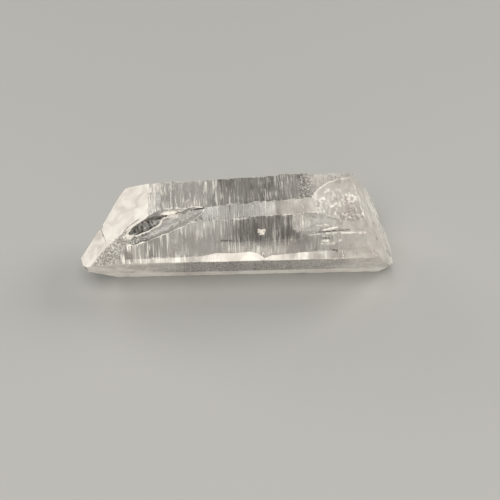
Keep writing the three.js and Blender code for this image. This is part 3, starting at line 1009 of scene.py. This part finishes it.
def quartz_finish():
    """Clear glass with a white skin over it, as much of each as the numbers on the faces say."""
    material, tree = new_finish("quartz")
    place = tree.node("ShaderNodeTexCoord", "Object")

    def face_value(name):
        return tree.node("ShaderNodeAttribute", "Fac", dict(attribute_name=name))

    def cloud(scale, detail, rough, stretch=(1, 1, 1), distortion=0.0):
        drawn = tree.node("ShaderNodeMapping", "Vector", None, {"Vector": place, "Scale": stretch})
        inputs = {"Vector": drawn, "Scale": scale, "Detail": detail, "Roughness": rough,
                  "Distortion": distortion}
        return tree.node("ShaderNodeTexNoise", 0, None, inputs)

    # Wide and narrow patches in the skin, then the fine growth lines and where they fade away.
    mottle = cloud(260, 3.0, 0.5, distortion=0.8).spread(*MIDDLE_TONES)
    haze = cloud(90, 3.0, 0.5).spread(*MIDDLE_TONES)
    barcode = cloud(3000, 1.0, 0.5, stretch=(1, 0.06, 0.06)).spread(0.52, 0.6)
    fade = cloud(260, 2.0, 0.5).spread(0.38, 0.58)
    lines = face_value("lines") * barcode * fade
    rung = face_value("rung")
    # Frosted places are grainy, with specks. Smooth ones have streaks across the crystal.
    grain = face_value("grain")
    grains = cloud(2800, 2.0, 0.6)
    specks = grains.spread(0.48, 0.6)
    streaks = cloud(1000, 2.0, 0.5, stretch=(1, 0.1, 0.1)).spread(0.42, 0.6)

    roughness = face_value("satin") * (0.5 + mottle) + 0.1 * lines + 0.15 * rung
    height = grains * grain + 0.3 * barcode * fade * face_value("lines").clamped()
    bump = tree.node("ShaderNodeBump", "Normal", None, {**RELIEF, "Height": height})
    # Painted shade: the faces' shade darkens the glass colour, and the skin where grainy, in specks on
    # frosted places and in streaks on smooth ones.
    grainy = grain.clamped()
    darks = tree.mixed(grainy, streaks, 1.0 - specks)
    shade = face_value("shade") * (0.55 + 0.9 * darks)
    glass_colour = tree.mixed(shade, CLEAR_GLASS, PAINTED_SHADE_GLASS)
    glass = tree.node("ShaderNodeBsdfPrincipled", "BSDF", None, {
        "Base Color": glass_colour,
        "Roughness": roughness,
        "IOR": QUARTZ_IOR,
        "Transmission Weight": 1.0,
        "Normal": bump,
    })
    skin_colour = tree.mixed(0.5 * mottle + 0.5 * haze, DULL_SKIN, WHITE_SKIN)
    # Painted shade on grainy skin.
    skin_colour = tree.mixed(shade * grainy, skin_colour, SHADED_SKIN)
    skin = tree.node("ShaderNodeBsdfPrincipled", "BSDF", None, {
        "Base Color": skin_colour,
        "Roughness": 0.6,
        "Normal": bump,
    })
    share = face_value("bloom") * (0.6 + 0.2 * mottle + 0.2 * haze) + 0.45 * lines + 0.2 * rung
    share = share + 0.16 * face_value("lines") * streaks
    share = share + 0.5 * specks * grain
    surface = tree.node("ShaderNodeMixShader", 0, None, {0: share.clamped(MOST_SKIN), 1: glass, 2: skin})
    volume = tree.node("ShaderNodeVolumeAbsorption", 0, None, {"Color": BODY_TINT, "Density": BODY_DENSITY})
    tree.node("ShaderNodeOutputMaterial", inputs={"Surface": surface, "Volume": volume})
    return material


def veil_finish(name, thinnest, thickest):
    """A whitish film, broken up like smoke."""
    material, tree = new_finish(name)
    place = tree.node("ShaderNodeTexCoord", "Object")
    inputs = {"Vector": place, "Scale": 420.0, "Detail": 4.0, "Roughness": 0.6, "Distortion": 0.6}
    smoke = tree.node("ShaderNodeTexNoise", 0, None, inputs)
    film = tree.node("ShaderNodeBsdfPrincipled", "BSDF", None, {
        "Base Color": FILM_COLOUR,
        "Roughness": 0.5,
        "Alpha": smoke.spread(*MIDDLE_TONES, thinnest, thickest),
    })
    tree.node("ShaderNodeOutputMaterial", inputs={"Surface": film})
    return material


def paper_finish():
    material, tree = new_finish("pale floor")
    paint = tree.node("ShaderNodeBsdfPrincipled", "BSDF", None, {
        "Base Color": FLOOR_PAINT,
        "Roughness": 0.6,
    })
    tree.node("ShaderNodeOutputMaterial", inputs={"Surface": paint})
    return material


# ---- Flaws inside the crystal ----

def to_frame(point):
    return (Vector(point) + AXIS_TO_FRAME) * MM


def crack_mesh(start, end, under, widths, cells, bow, bow_size, half_thickness):
    """A thin closed lens-edged sheet under the front face, with its thickness tapering to its rim."""
    start = Vector(start) - under * FRONT_OUT
    along = Vector(end) - under * FRONT_OUT - start
    points = []
    for side in (1, -1):
        for i in range(cells[0] + 1):
            for j in range(cells[1] + 1):
                s = i / cells[0]
                t = j / cells[1]
                rim = min(1, LENS_EDGE * math.sqrt(max(0, s * (1 - s) * t * (1 - t))))
                at = start + along * s + FRONT_UP * (widths[0] + (widths[1] - widths[0]) * s) * t
                at += FRONT_OUT * (bow * lumpy(at, bow_size, 2) + side * half_thickness * rim)
                points.append(to_frame(at))
    rows = cells[1] + 1
    count = (cells[0] + 1) * rows
    faces = []
    for i in range(cells[0]):
        for j in range(cells[1]):
            a = i * rows + j
            faces.append((a, a + rows, a + rows + 1, a + 1))
            faces.append((count + a, count + a + 1, count + a + rows + 1, count + a + rows))
    mesh = bpy.data.meshes.new("healed_crack")
    mesh.from_pydata(points, [], faces)
    bm = bmesh.new()
    bm.from_mesh(mesh)
    bmesh.ops.remove_doubles(bm, verts=bm.verts, dist=1e-7)
    bmesh.ops.recalc_face_normals(bm, faces=bm.faces)
    if bm.calc_volume(signed=True) < 0:
        bmesh.ops.reverse_faces(bm, faces=bm.faces)
    bm.to_mesh(mesh)
    bm.free()
    mesh.shade_smooth()
    return mesh


def fleck_tree():
    """Scatters small flat flecks, turned every way, over the faces of a guide."""
    group = bpy.data.node_groups.new("flecks", "GeometryNodeTree")
    sockets = {"Geometry": "Geometry", "Density": "Float", "Size": "Float", "Seed": "Int",
               "Material": "Material"}
    for name, kind in sockets.items():
        group.interface.new_socket(name, in_out="INPUT", socket_type="NodeSocket" + kind)
    group.interface.new_socket("Geometry", in_out="OUTPUT", socket_type="NodeSocketGeometry")
    tree = Wire(group)
    start = group.nodes.new("NodeGroupInput")
    guide, density, size, seed, material = (Wire(group, start.outputs[name]) for name in sockets)
    points = tree.node("GeometryNodeDistributePointsOnFaces", 0, None, {
        "Mesh": guide, "Density": density, "Seed": seed})
    ball = tree.node("GeometryNodeMeshIcoSphere", 0, None, {"Subdivisions": 2, "Radius": size})
    fleck = tree.node("GeometryNodeTransform", 0, None, {"Geometry": ball, "Scale": FLECK_SHAPE})
    turn = tree.node("FunctionNodeRandomValue", 0, dict(data_type="FLOAT_VECTOR"), {
        "Max": (math.tau, math.tau, math.tau), "Seed": seed})
    growth = tree.node("FunctionNodeRandomValue", 1, dict(data_type="FLOAT"), {
        2: FLECK_SMALLEST, 3: 1.0, "Seed": seed})
    placed = tree.node("GeometryNodeInstanceOnPoints", 0, None, {
        "Points": points, "Instance": fleck, "Rotation": turn, "Scale": growth})
    real = tree.node("GeometryNodeRealizeInstances", 0, None, {"Geometry": placed})
    painted = tree.node("GeometryNodeSetMaterial", 0, None, {"Geometry": real, "Material": material})
    tree.node("NodeGroupOutput", inputs={"Geometry": painted})
    return group


def patch_corners(centre, reach, under):
    """The four corners of a small guide under the front face."""
    middle = Vector(centre) - under * FRONT_OUT
    along = Vector((reach[0], 0, 0))
    up = FRONT_UP * reach[1]
    tilt = FRONT_OUT * PATCH_TILT
    return [to_frame(at) for at in (
        middle - along - up + tilt, middle + along - up, middle + along + up - tilt, middle - along + up)]


def sparkle_mesh(material):
    """The flecks over all the patches, as one plain mesh."""
    corners = [corner for sparkle in SPARKLES for corner in patch_corners(**sparkle)]
    guide = bpy.data.meshes.new("guide")
    guide.from_pydata(corners, [], [(k, k + 1, k + 2, k + 3) for k in range(0, len(corners), 4)])
    carrier = add_object("sparkles_guide", guide)
    scatter = carrier.modifiers.new("flecks", "NODES")
    scatter.node_group = fleck_tree()
    given = {
        "Density": FLECK_DENSITY / MM ** 2,
        "Size": FLECK_SIZE * MM,
        "Seed": FLECK_SEED,
        "Material": material,
    }
    for item in scatter.node_group.interface.items_tree:
        if item.in_out == "INPUT" and item.name in given:
            scatter[item.identifier] = given[item.name]
    mesh = evaluated(carrier)
    mesh.name = "sparkles"
    bpy.data.objects.remove(carrier)
    bpy.data.meshes.remove(guide)
    return mesh


# ---- The studio ----

def add_floor(level):
    bm = bmesh.new()
    bmesh.ops.create_grid(bm, x_segments=1, y_segments=1, size=FLOOR_SIZE)
    mesh = bpy.data.meshes.new("floor")
    bm.to_mesh(mesh)
    bm.free()
    mesh.transform(Matrix.Translation((0, 0, level)))
    mesh.materials.append(paper_finish())
    add_object("floor", mesh)


def add_lamp(name, at, aim, size, power):
    data = bpy.data.lights.new(name, "AREA")
    data.shape = "RECTANGLE"
    data.size, data.size_y = size
    data.energy = power
    data.color = LAMP_COLOUR
    lamp = add_object(name, data)
    lamp.location = at
    lamp.rotation_euler = (Vector(aim) - Vector(at)).to_track_quat("-Z", "Y").to_euler()


def add_studio():
    world = bpy.data.worlds.new("studio")
    bpy.context.scene.world = world
    world.use_nodes = True
    sky = world.node_tree.nodes["Background"]
    sky.inputs["Color"].default_value = WORLD_COLOUR
    sky.inputs["Strength"].default_value = WORLD_STRENGTH
    bpy.context.scene.view_settings.view_transform = "Standard"
    for lamp in LAMPS:
        add_lamp(*lamp)


def add_camera():
    a = math.radians(CAMERA_AZIMUTH)
    e = math.radians(CAMERA_ELEVATION)
    back = Vector((math.sin(a) * math.cos(e), -math.cos(a) * math.cos(e), math.sin(e)))
    data = bpy.data.cameras.new("camera")
    data.lens = CAMERA_LENS
    data.sensor_width = CAMERA_SENSOR
    data.shift_x, data.shift_y = CAMERA_SHIFT
    data.clip_start = CAMERA_NEAREST
    camera = add_object("camera", data)
    camera.location = CAMERA_AIM + CAMERA_DISTANCE * back
    camera.rotation_euler = (-back).to_track_quat("-Z", "Y").to_euler()
    bpy.context.scene.camera = camera


# ---- Putting it together ----

def add_piece(name, mesh, material):
    """A finished piece in its place: it rides on the crystal's body and takes the material it is given."""
    mesh.materials.clear()
    mesh.materials.append(material)
    piece = add_object(name, mesh)
    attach(piece, "root")
    return piece


def build():
    crystal = add_piece("quartz_point", crystal_mesh(), quartz_finish())
    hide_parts("crystal")
    film = veil_finish("crack film", *FILM_COVER)
    bright = veil_finish("bright flaw", *SPARKLE_COVER)
    add_piece("healed_crack", crack_mesh(**HEALED_CRACK), film)
    add_piece("sparkles", sparkle_mesh(bright), bright)


build()
add_floor(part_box("crystal")[0].z)
add_studio()
add_camera()
